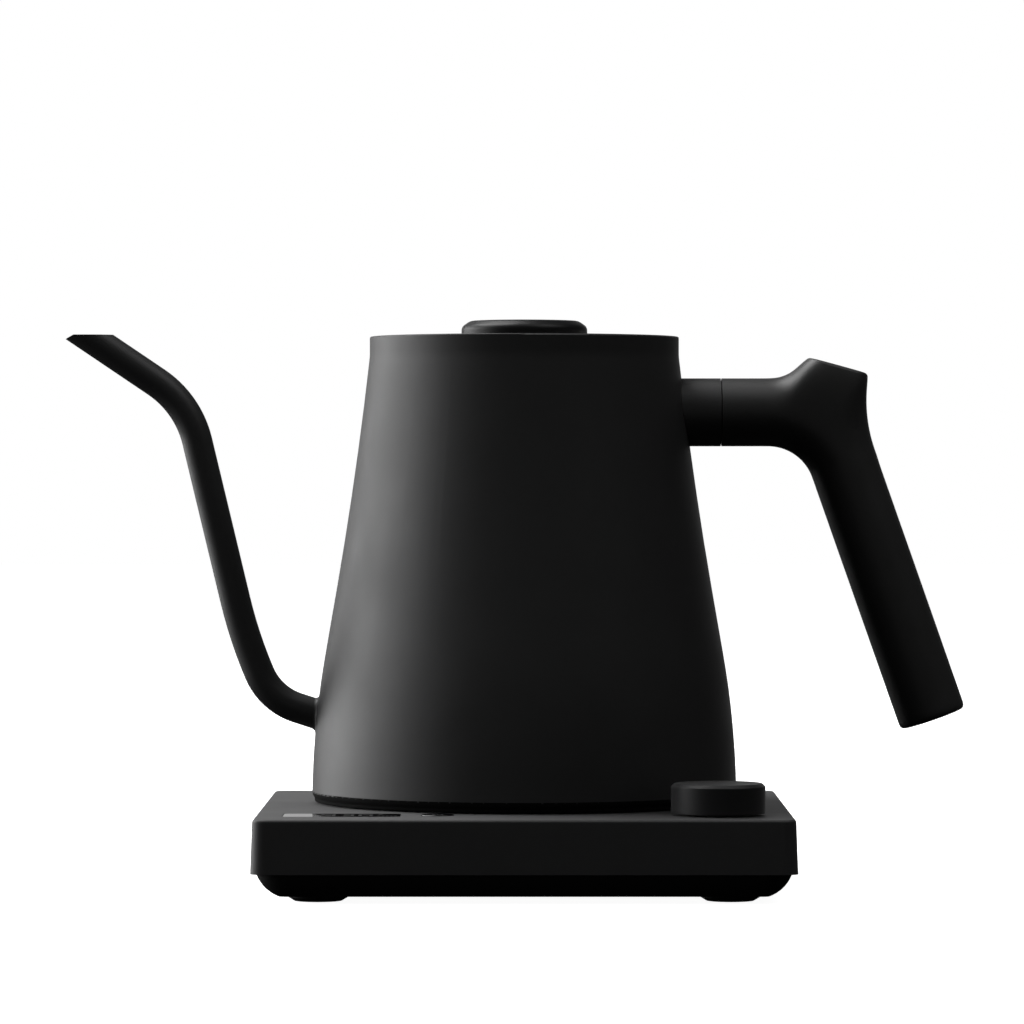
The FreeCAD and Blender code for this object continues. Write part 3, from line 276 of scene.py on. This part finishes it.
def as_mesh(name, form):
    """Turns a finished form into a mesh, smooth but for its hard edges."""
    bmesh.ops.recalc_face_normals(form, faces=form.faces)
    mesh = bpy.data.meshes.new(name)
    form.to_mesh(mesh)
    form.free()
    for face in mesh.polygons:
        face.use_smooth = True
    mesh.set_sharp_from_angle(angle=HARD_EDGE)
    return mesh


def wrap(form, rings, closed=True):
    """Faces between neighbouring rings of equally many points; closed joins the last to the first."""
    pairs = list(zip(rings, rings[1:]))
    if closed:
        pairs.append((rings[-1], rings[0]))
    for ring, following in pairs:
        for index in range(len(ring)):
            form.faces.new((ring[index - 1], ring[index], following[index], following[index - 1]))


def rounded(corners, steps=5):
    """A closed outline whose (x, y, radius) corners are turned into arcs."""
    points = []
    for index, (x, y, radius) in enumerate(corners):
        corner = Vector((x, y))
        if radius == 0:
            points.append(corner)
            continue
        before = (Vector(corners[index - 1][:2]) - corner).normalized()
        after = (Vector(corners[(index + 1) % len(corners)][:2]) - corner).normalized()
        half = before.angle(after) / 2
        centre = corner + (before + after).normalized() * (radius / math.sin(half))
        reach = radius / math.tan(half)
        start = (corner + before * reach - centre).normalized()
        end = (corner + after * reach - centre).normalized()
        points += [centre + start.slerp(end, step / steps) * radius for step in range(steps + 1)]
    return points


def circle(x, y, radius, steps=48):
    """A circle's outline about (x, y)."""
    turns = [2 * math.pi * step / steps for step in range(steps)]
    return [(x + radius * math.cos(turn), y + radius * math.sin(turn)) for turn in turns]


def rectangle(x, y, length, depth, corner=0.0):
    """A rectangle's outline about (x, y), with rounded corners."""
    half_x, half_y = length / 2, depth / 2
    corners = [
        (x - half_x, y - half_y), (x + half_x, y - half_y), (x + half_x, y + half_y), (x - half_x, y + half_y),
    ]
    return [tuple(point) for point in rounded([(*point, corner) for point in corners], 6)]


def turned_mesh(name, corners, centre, steps=144):
    """Turns an outline of (radius, height, rounding) corners about an upright line; its ends are on the line."""
    outline = rounded(corners)
    form = bmesh.new()
    rings = [
        [form.verts.new((x, y, point.y)) for x, y in circle(centre.x, centre.y, point.x, steps)]
        for point in outline[1:-1]
    ]
    wrap(form, rings, closed=False)
    for ring, point in ((rings[0], outline[0]), (rings[-1], outline[-1])):
        pole = form.verts.new((centre.x, centre.y, point.y))
        for index in range(steps):
            form.faces.new((ring[index - 1], ring[index], pole))
    return as_mesh(name, form)


def ring_mesh(name, corners, centre, steps=192):
    """Turns a closed outline of (radius, height, rounding) corners about an upright line that it is clear of."""
    form = bmesh.new()
    wrap(form, [
        [form.verts.new((x, y, point.y)) for x, y in circle(centre.x, centre.y, point.x, steps)]
        for point in rounded(corners)
    ])
    return as_mesh(name, form)


def stacked_mesh(name, stacks):
    """Solids through outlines at heights; each stack is a list of (outline, height) rows."""
    form = bmesh.new()
    for stack in stacks:
        rings = [[form.verts.new((x, y, height)) for x, y in outline] for outline, height in stack]
        form.faces.new(rings[0])
        form.faces.new(rings[-1])
        wrap(form, rings, closed=False)
    return as_mesh(name, form)


def screw_mesh(name, places, out, head, shank, recess, depth):
    """Screws with flat round heads; head and shank are (radius, length), out is the way their faces look."""
    form = bmesh.new()
    turn = Vector((0, 0, 1)).rotation_difference(out).to_matrix()
    (head_radius, head_length), (shank_radius, shank_length) = head, shank
    bevel = head_radius * 0.12
    pit_floor = [(x * 0.8, y * 0.8) for x, y in recess]
    for place in places:
        def ring(points, level):
            return [form.verts.new(place + turn @ Vector((x, y, level))) for x, y in points]
        side = [ring(circle(0, 0, radius), level) for radius, level in (
            (shank_radius, -head_length - shank_length), (shank_radius, -head_length),
            (head_radius, -head_length), (head_radius, -bevel), (head_radius - bevel, 0))]
        pit = [ring(recess, 0), ring(pit_floor, -depth)]
        wrap(form, side, closed=False)
        wrap(form, pit, closed=False)
        form.faces.new(side[0])
        form.faces.new(pit[1])
        rims = [form.edges.get((loop[index - 1], loop[index]))
                for loop in (side[-1], pit[0]) for index in range(len(loop))]
        bmesh.ops.triangle_fill(form, use_beauty=True, edges=rims)
    return as_mesh(name, form)


def cross_recess(reach, width):
    """A plus-shaped outline."""
    half = width / 2
    arm = [Vector((reach, -half)), Vector((reach, half)), Vector((half, half))]
    return [tuple(Matrix.Rotation(math.pi / 2 * step, 2) @ point) for step in range(4) for point in arm]


# ---------------------------------------------------------------- kettle and lid pieces

# degrees that the spout's root rises away from the shell, as in the CAD
ROOT_RISE = 18


def add_spout_weld():
    """The concave weld between the spout's root and the shell."""
    low, high = box_corners("spout")
    shell = nodes["kettle_body"].data
    points = [point.co for point in shell.vertices]
    tree = BVHTree.FromPolygons(points, [face.vertices for face in shell.polygons])
    rise = math.radians(ROOT_RISE)
    inwards = Vector((math.cos(rise), 0, -math.sin(rise)))
    up = Vector((math.sin(rise), 0, math.cos(rise)))
    side = Vector((0, 1, 0))
    radius = (high.y - low.y) / 2
    root = Vector((high.x - radius * up.x, kettle_axis.y, low.z + radius * up.z))
    outside = root - inwards * (20 * MM)
    size, sunk, past_hole = 1.6 * MM, 0.03 * MM, 0.1 * MM
    steps = 72
    form = bmesh.new()
    rings = []
    for step in range(steps):
        turn = 2 * math.pi * step / steps
        across = up * math.cos(turn) + side * math.sin(turn)
        hit = tree.ray_cast(outside + across * (radius + past_hole), inwards)[0]
        corner = hit - across * (past_hole + sunk)
        on_shell = tree.ray_cast(outside + across * (radius + size), inwards)[0] + inwards * sunk
        on_tube = corner - inwards * size
        # a hollow curve from the tube to the shell, then one point buried behind it
        curve = [
            on_tube * (1 - share) ** 2 + corner * (2 * share * (1 - share)) + on_shell * share ** 2
            for share in (0, 0.17, 0.33, 0.5, 0.67, 0.83, 1)
        ]
        curve.append(corner + inwards * (0.3 * MM) - across * (0.1 * MM))
        rings.append([form.verts.new(point) for point in curve])
    wrap(form, rings)
    add_piece("spout_weld", as_mesh("spout_weld", form), "kettle", "shell_black", LOOKS["shell_black"])


def add_foot_ring():
    """The black band round the shell's rolled foot, just clear of the base; its near-black colour is painted
    shade for the shadow under the shell's edge.
    """
    low, high = box_corners("kettle_body")
    radius = half_width(low, high)
    # inset from the shell's widest, height above its lowest and rounding, all in millimetres
    profile = [
        (0, 2.9, 0), (0.05, 2.3, 0), (0.25, 1.6, 0.5), (0.75, 0.8, 0.5),
        (0.85, -0.35, 0.4), (4.6, -0.35, 0.2), (4.6, 2.9, 0),
    ]
    mesh = ring_mesh("foot_ring", [
        (radius - inset * MM, low.z + height * MM, rounding * MM) for inset, height, rounding in profile
    ], kettle_axis)
    add_piece("foot_ring", mesh, "kettle", "rubber_black", foot_ring_painted_shade_look)


def add_lid_knob():
    """The lid's hollow knob, with soft edges."""
    low, high = box_corners("lid_knob")
    radius = half_width(low, high)
    wall, bevel_in, bevel_down = 2.5 * MM, 2.9 * MM, 2.0 * MM
    mesh = turned_mesh("lid_knob_turned", [
        (0, high.z, 0), (radius - bevel_in, high.z, 3.2 * MM), (radius, high.z - bevel_down, 2.2 * MM),
        (radius, low.z, 0.2 * MM), (radius - wall, low.z, 0.2 * MM),
        (radius - wall, high.z - wall, 0.3 * MM), (0, high.z - wall, 0),
    ], kettle_axis)
    add_piece("lid_knob_turned", mesh, "lid", "grip_black", knob_look, "lid_knob")


def add_handle_screw():
    """The socket-head screw behind the arm."""
    low, high = box_corners("handle_screw")
    face = Vector(((low.x + high.x) / 2, high.y, (low.z + high.z) / 2))
    head_length = 2.6 * MM
    head = (half_width(low, high), head_length)
    shank = (2.0 * MM, high.y - low.y - head_length)
    hexagon = circle(0, 0, 1.75 * MM, 6)
    mesh = screw_mesh("hex_screw", [face], Vector((0, 1, 0)), head, shank, hexagon, 1.6 * MM)
    add_piece("hex_screw", mesh, "kettle", "steel", LOOKS["steel"], "handle_screw")


# ---------------------------------------------------------------- base pieces

def add_dial():
    """The dial's hollow cap and the index dot on it."""
    low, high = box_corners("dial_knob")
    radius = half_width(low, high)
    wall, bevel = 2.2 * MM, 1.0 * MM
    mesh = turned_mesh("dial_turned", [
        (0, high.z, 0), (radius - bevel, high.z, 0.6 * MM), (radius, high.z - bevel, 0.45 * MM),
        (radius, low.z, 0.25 * MM), (radius - wall, low.z, 0.2 * MM),
        (radius - wall, high.z - wall, 0.3 * MM), (0, high.z - wall, 0),
    ], dial_axis)
    add_piece("dial_turned", mesh, "dial", "dial_black", LOOKS["dial_black"], "dial_knob")
    dot = circle(dial_axis.x, dial_axis.y + radius * 0.68, 0.7 * MM, 24)
    mesh = stacked_mesh("dial_index", [[(dot, high.z - 0.1 * MM), (dot, high.z + 0.01 * MM)]])
    add_piece("dial_index", mesh, "dial", "dial_black", mark_look)


def add_button():
    """The dished push button and the switch symbol on it: an open ring with a bar in its gap."""
    low, high = box_corners("button_cap")
    flange = half_width(low, high)
    radius = flange - 1.0 * MM
    step_up = low.z + 1.1 * MM
    mesh = turned_mesh("button_turned", [
        (0, high.z - 0.2 * MM, 0), (radius * 0.55, high.z - 0.16 * MM, 1.2 * MM), (radius, high.z, 0.3 * MM),
        (radius, step_up, 0), (flange, step_up, 0), (flange, low.z, 0), (0, low.z, 0),
    ], button_axis, 96)
    add_piece("button_turned", mesh, "button", "dial_black", button_look, "button_cap")
    ring, width = 1.6 * MM, 0.32 * MM
    ring_start, ring_sweep, steps = 125, 290, 32
    turns = [math.radians(ring_start + ring_sweep * step / steps) for step in range(steps + 1)]
    arc = [Vector((math.cos(turn), math.sin(turn))) for turn in turns]
    centre = Vector(button_axis[:2])
    outer = [tuple(centre + way * (ring + width / 2)) for way in arc]
    inner = [tuple(centre + way * (ring - width / 2)) for way in reversed(arc)]
    bar = rectangle(button_axis.x, button_axis.y + ring, width, ring * 1.1)
    top = high.z - 0.12 * MM
    mesh = stacked_mesh("button_symbol", [
        [(outline, top - 0.1 * MM), (outline, top)] for outline in (outer + inner, bar)])
    add_piece("button_symbol", mesh, "button", "dial_black", mark_look)


# where a seven-segment digit's bars lie: across, up, and whether they lie level
SEGMENTS = {
    "a": (0, 1, True), "b": (1, 0.5, False), "c": (1, -0.5, False), "d": (0, -1, True),
    "e": (-1, -0.5, False), "f": (-1, 0.5, False), "g": (0, 0, True),
}
DIGITS = {"9": "abcdfg", "3": "abcdg", "0": "abcdef"}


def digit_bars(digit, x, y, width, height):
    """The outlines of a seven-segment digit's bars."""
    thick = 0.12 * height
    half = (height - thick) / 2
    bars = []
    for letter in DIGITS[digit]:
        across, up, level = SEGMENTS[letter]
        size = (width - 1.3 * thick, thick) if level else (thick, half - 1.3 * thick)
        bars.append(rectangle(x + across * width / 2, y + up * half, *size, thick * 0.3))
    return bars


def add_display():
    """The display's glass and the unlit marks on it: three digits, a level bar of five and a dot."""
    low, high = box_corners("display_window")
    centre = (low + high) / 2
    length, depth, corner, edge = high.x - low.x, high.y - low.y, 1.5 * MM, 0.1 * MM
    full = rectangle(centre.x, centre.y, length, depth, corner)
    top = rectangle(centre.x, centre.y, length - 2 * edge, depth - 2 * edge, corner - edge)
    mesh = stacked_mesh("display_glass", [[(full, low.z), (full, high.z - edge), (top, high.z)]])
    add_piece("display_glass", mesh, "base", "window_black", window_look, "display_window")
    # places on the glass are millimetres from its middle
    bars = []
    for digit, x in (("9", -4.2), ("3", 1.6), ("0", 7.4)):
        bars += digit_bars(digit, centre.x + x * MM, centre.y, 3.4 * MM, 8.6 * MM)
    bars += [
        rectangle(centre.x + (11.6 + 1.3 * step) * MM, centre.y - 4.2 * MM, 0.8 * MM, 1.6 * MM, 0.2 * MM)
        for step in range(5)
    ]
    bars.append(circle(centre.x + 12.0 * MM, centre.y + 3.4 * MM, 0.7 * MM, 24))
    mesh = stacked_mesh("display_marks", [
        [(outline, high.z - 0.05 * MM), (outline, high.z + 0.015 * MM)] for outline in bars])
    add_piece("display_marks", mesh, "base", "window_black", mark_look)


def add_base_screws():
    """Cross-head screws in the tray, one at each of the CAD screws."""
    low, high = box_corners("base_screws")
    apart = 8 * MM
    groups = []
    for point in (vertex.co for vertex in nodes["base_screws"].data.vertices):
        near = [group for group in groups if (group[0].xy - point.xy).length < apart]
        if near:
            near[0].append(point)
        else:
            groups.append([point])
    places = []
    for group in groups:
        xs, ys = [point.x for point in group], [point.y for point in group]
        places.append(Vector(((min(xs) + max(xs)) / 2, (min(ys) + max(ys)) / 2, low.z)))
    head_length = 1.2 * MM
    head = (2.9 * MM, head_length)
    shank = (1.3 * MM, high.z - low.z - head_length)
    recess = cross_recess(1.7 * MM, 0.7 * MM)
    mesh = screw_mesh("cross_screws", places, Vector((0, 0, -1)), head, shank, recess, 0.8 * MM)
    add_piece("cross_screws", mesh, "base", "steel", LOOKS["steel"], "base_screws")


knob_look = powder_coat("knob_satin", (0.005, 0.005, 0.0055), 0.42, 0.22)
# painted shade: the foot ring's rubber is darker and duller than the other rubber, standing in for the shadow
# under the shell's edge
foot_ring_painted_shade_look = moulded("foot_ring_rubber_painted_shade", (0.004, 0.004, 0.004), 0.85, 0.6 * MM, 0.06)
button_look = Look("button_gloss", (0.004, 0.004, 0.0045), 0.12)
button_look.vary_roughness(button_look.noise(4 * MM, 3), 0.02)
button_look.bump(button_look.noise(0.4 * MM, 2), 0.002 * MM)
mark_look = Look("display_marks", (0.05, 0.05, 0.052), 0.7, specular=0.15)
mark_look.tint(mark_look.noise(0.8 * MM, 2), 0.85, 1.15)
add_spout_weld()
add_foot_ring()
add_lid_knob()
add_handle_screw()
add_dial()
add_button()
add_display()
add_base_screws()


# ---------------------------------------------------------------- camera, light and floor

def add_camera():
    """A long lens, level with the upper body and square to the front; the shift only frames the kettle."""
    data = bpy.data.cameras.new("camera")
    data.lens = 191.7
    data.sensor_width = 36
    data.shift_x = -0.0153
    data.shift_y = -0.0397
    data.clip_end = 20
    camera = bpy.data.objects.new("camera", data)
    # 1.765 m in front of the kettle's axis, 1 mm to its right and 133 mm above the table
    camera.location = (0.00422, -1.75275, 0.1331)
    camera.rotation_euler = (math.radians(90), 0, 0)
    bpy.context.scene.collection.objects.link(camera)
    bpy.context.scene.camera = camera


SOFT_BOX_SIDE = 1.1
SOFT_BOX_DISTANCE = 1.6
SOFT_BOX_TARGET = Vector((0, 0, 0.09))


def add_light(name, azimuth, elevation, power):
    """A square soft box aimed at the kettle; azimuth 0 is the camera's side, positive towards the handle."""
    data = bpy.data.lights.new(name, "AREA")
    data.shape = "RECTANGLE"
    data.size = SOFT_BOX_SIDE
    data.size_y = SOFT_BOX_SIDE
    data.energy = power
    light = bpy.data.objects.new(name, data)
    turn, rise = math.radians(azimuth), math.radians(elevation)
    level = math.cos(rise) * SOFT_BOX_DISTANCE
    offset = Vector((math.sin(turn) * level, -math.cos(turn) * level, math.sin(rise) * SOFT_BOX_DISTANCE))
    light.location = SOFT_BOX_TARGET + offset
    light.rotation_euler = (-offset).to_track_quat("-Z", "Y").to_euler()
    light.visible_camera = False
    bpy.context.scene.collection.objects.link(light)


def add_floor():
    """A pale floor, lit from within so that it meets the white behind it without an edge."""
    mesh = bpy.data.meshes.new("floor")
    reach = 6
    corners = [(-reach, -reach, 0), (reach, -reach, 0), (reach, reach, 0), (-reach, reach, 0)]
    mesh.from_pydata(corners, [], [(0, 1, 2, 3)])
    floor = bpy.data.objects.new("floor", mesh)
    bpy.context.scene.collection.objects.link(floor)
    look = Look("pale_floor", (0.9, 0.9, 0.9), 0.9)
    look.shader.inputs["Emission Color"].default_value = (1, 1, 1, 1)
    look.shader.inputs["Emission Strength"].default_value = 0.95
    paint(floor, look)
    floor.visible_diffuse = False
    floor.visible_glossy = False


def add_world():
    """White behind the object for the camera; a dim studio with a pale back wall for everything else."""
    world = bpy.data.worlds.new("studio")
    bpy.context.scene.world = world
    world.use_nodes = True
    tree = world.node_tree
    tree.nodes.clear()
    output = tree.nodes.new("ShaderNodeOutputWorld")
    white = tree.nodes.new("ShaderNodeBackground")
    white.inputs["Color"].default_value = (1, 1, 1, 1)
    room = tree.nodes.new("ShaderNodeBackground")
    ray = tree.nodes.new("ShaderNodeLightPath")
    mix = tree.nodes.new("ShaderNodeMixShader")
    tree.links.new(ray.outputs["Is Camera Ray"], mix.inputs["Fac"])
    tree.links.new(room.outputs["Background"], mix.inputs[1])
    tree.links.new(white.outputs["Background"], mix.inputs[2])
    tree.links.new(mix.outputs["Shader"], output.inputs["Surface"])
    place = tree.nodes.new("ShaderNodeTexCoord")
    split = tree.nodes.new("ShaderNodeSeparateXYZ")
    tree.links.new(place.outputs["Generated"], split.inputs["Vector"])
    back = tree.nodes.new("ShaderNodeMapRange")
    back.interpolation_type = "SMOOTHSTEP"
    # the room's own level, rising to the pale wall's straight behind the object
    set_range(back, 0.8, 1.0, 0.05, 0.45)
    tree.links.new(split.outputs["Y"], back.inputs["Value"])
    above = tree.nodes.new("ShaderNodeMapRange")
    above.interpolation_type = "SMOOTHSTEP"
    # a tenth of that below the table, where a real room is dark
    set_range(above, -0.3, 0.15, 0.1, 1.0)
    tree.links.new(split.outputs["Z"], above.inputs["Value"])
    shaded = tree.nodes.new("ShaderNodeMath")
    shaded.operation = "MULTIPLY"
    tree.links.new(back.outputs["Result"], shaded.inputs[0])
    tree.links.new(above.outputs["Result"], shaded.inputs[1])
    tree.links.new(shaded.outputs["Value"], room.inputs["Color"])


add_camera()
add_world()
add_floor()
add_light("key", -120, 10, 18)
add_light("side", -90, 10, 12)
add_light("overhead", -120, 60, 28)
add_light("handle_side", 60, 60, 6)
add_light("front", 0, 10, 0.4)
bpy.context.scene.view_settings.view_transform = "Standard"
